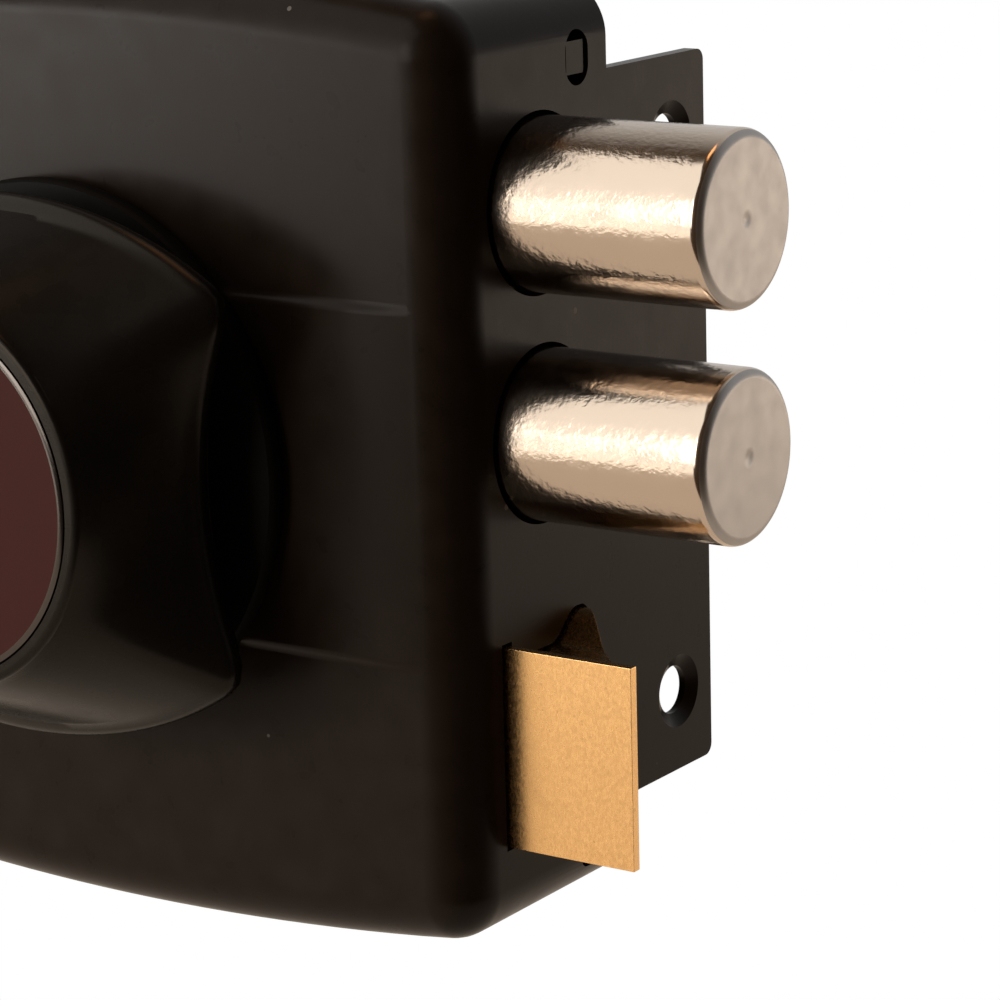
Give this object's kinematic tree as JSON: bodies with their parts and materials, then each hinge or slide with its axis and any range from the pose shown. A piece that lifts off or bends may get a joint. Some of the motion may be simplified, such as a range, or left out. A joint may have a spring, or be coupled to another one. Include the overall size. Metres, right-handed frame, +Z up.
{
  "type": "rim box lock",
  "caption": "Surface-mounted rim lock for a door: dark pressed case with thumb knob, round dead bolts thrown by a rack, a sprung bevelled latch and a flange for the door edge.",
  "frame": {"origin": "knob and cylinder axis at the door face (back of the case)", "axes": "+X towards the bolts and the door edge, +Y into the door along the cylinder axis, +Z up"},
  "size_m": [0.139, 0.08, 0.1152],
  "materials": {
    "case_lacquer": "satin dark brown lacquer",
    "plate_steel": "zinc plated sheet",
    "nickel": "nickel plated, fine turned",
    "brass": "satin brass",
    "knob_black": "semi gloss black",
    "cap_dark": "plain dark cap",
    "steel": "turned steel",
    "bush_brass": "turned",
    "spring_steel": "drawn wire and strip"
  },
  "bodies": {
    "case": {"case_cover": "case_lacquer", "edge_flange": "case_lacquer", "back_plate": "plate_steel", "cover_screws": "steel", "cover_bush": "bush_brass", "bush_clip": "spring_steel", "bolt_guide": "plate_steel", "rack_posts": "steel", "latch_bracket": "plate_steel", "lever_post": "steel", "latch_spring": "spring_steel"},
    "knob_shaft": {"knob": "knob_black", "knob_cap": "cap_dark", "knob_screw": "steel", "spindle": "steel", "spindle_clip": "spring_steel", "drive_pinion": "steel", "latch_cam": "plate_steel"},
    "bolts": {"upper_bolt": "nickel", "lower_bolt": "nickel", "bolt_carriage": "plate_steel", "bolt_screws": "steel"},
    "latch": {"latch_bolt": "brass", "latch_tail": "steel", "latch_pin": "steel", "latch_clip": "spring_steel"},
    "lever": {"latch_lever": "plate_steel"}
  },
  "joints": [
    {"name": "knob_turn", "type": "hinge", "parent": "case", "child": "knob_shaft", "pos_m": [0, 0, 0], "axis": [0, 1, 0], "range_deg": [-180, 0]},
    {"name": "bolt_throw", "type": "slide", "parent": "case", "child": "bolts", "axis": [1, 0, 0], "range_m": [-0.02638, 0]},
    {"name": "latch_slide", "type": "slide", "parent": "case", "child": "latch", "axis": [1, 0, 0], "range_m": [-0.0165, 0], "stiffness_N_per_m": 400, "springref_m": 0.012, "deforming": ["latch_spring"]},
    {"name": "lever_swing", "type": "hinge", "parent": "case", "child": "lever", "pos_m": [-0.006, 0, -0.017], "axis": [0, 1, 0], "range_deg": [0, 60.6]}
  ],
  "couplings": [
    {"joint": "knob_turn", "follows": "bolt_throw", "rad_per_m": 119.05},
    {"joint": "lever_swing", "follows": "latch_slide", "rad_per_m": -63.982}
  ]
}
